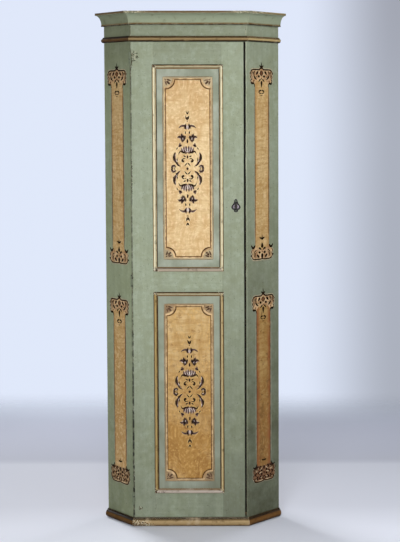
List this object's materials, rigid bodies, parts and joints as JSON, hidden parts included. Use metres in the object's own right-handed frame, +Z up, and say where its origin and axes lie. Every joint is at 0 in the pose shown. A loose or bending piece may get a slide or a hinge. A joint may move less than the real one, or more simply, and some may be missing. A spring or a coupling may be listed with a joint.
{
  "type": "corner cupboard",
  "caption": "Tall slim painted corner cupboard with one panelled door between canted sides, a cove cornice, gilt mouldings and inside shelves.",
  "frame": {"origin": "on the floor, under the middle of the bounding box", "axes": "+Z up; the door faces -Y; the corner of the room lies at +Y; +X to the right of someone who faces the door"},
  "size_m": [0.7436, 0.5028, 2],
  "materials": {
    "green_paint": "worn sage green distemper over wood, matt",
    "gilding": "worn gilding with brown lines over wood",
    "panel_paint": "ochre painted grain with dark ornament, worn varnish",
    "bare_wood": "old unpainted softwood, rough",
    "iron": "dark hand-forged iron"
  },
  "bodies": {
    "carcass": {"side_board_left": "green_paint", "side_board_right": "green_paint", "back_board_left_1": "bare_wood", "back_board_left_2": "bare_wood", "back_board_right_1": "bare_wood", "back_board_right_2": "bare_wood", "plinth_rail": "green_paint", "frieze_board": "green_paint", "top_board": "bare_wood", "bottom_board": "bare_wood", "door_stop": "bare_wood", "shelf_1": "bare_wood", "shelf_cleat_left_1": "bare_wood", "shelf_cleat_right_1": "bare_wood", "shelf_2": "bare_wood", "shelf_cleat_left_2": "bare_wood", "shelf_cleat_right_2": "bare_wood", "shelf_3": "bare_wood", "shelf_cleat_left_3": "bare_wood", "shelf_cleat_right_3": "bare_wood", "cornice_front": "green_paint", "cornice_left": "green_paint", "cornice_right": "green_paint", "bead_front": "gilding", "bead_left": "gilding", "bead_right": "gilding", "base_moulding_front": "gilding", "base_moulding_left": "gilding", "base_moulding_right": "gilding", "hinge_bottom_frame_leaf": "iron", "hinge_bottom_pin": "iron", "hinge_middle_frame_leaf": "iron", "hinge_middle_pin": "iron", "hinge_top_frame_leaf": "iron", "hinge_top_pin": "iron"},
    "door": {"door_stile_hinge": "green_paint", "door_stile_lock": "green_paint", "door_rail_bottom": "green_paint", "door_rail_middle": "green_paint", "door_rail_top": "green_paint", "lower_panel": "panel_paint", "lower_panel_moulding_left": "gilding", "lower_panel_moulding_right": "gilding", "lower_panel_moulding_bottom": "gilding", "lower_panel_moulding_top": "gilding", "upper_panel": "panel_paint", "upper_panel_moulding_left": "gilding", "upper_panel_moulding_right": "gilding", "upper_panel_moulding_bottom": "gilding", "upper_panel_moulding_top": "gilding", "hinge_bottom_door_leaf": "iron", "hinge_middle_door_leaf": "iron", "hinge_top_door_leaf": "iron", "lock_case": "iron", "lock_cover": "iron", "bolt_spring": "iron", "key_pin": "iron", "escutcheon": "iron"},
    "lock_bolt": {"lock_bolt": "iron"}
  },
  "joints": [
    {"name": "door_swing", "type": "hinge", "parent": "carcass", "child": "door", "pos_m": [-0.22415, -0.21121, 0.96], "axis": [0, 0, -1], "range_deg": [0, 150]},
    {"name": "bolt_slide", "type": "slide", "parent": "door", "child": "lock_bolt", "axis": [1, 0, 0], "range_m": [0, 0.013]}
  ]
}
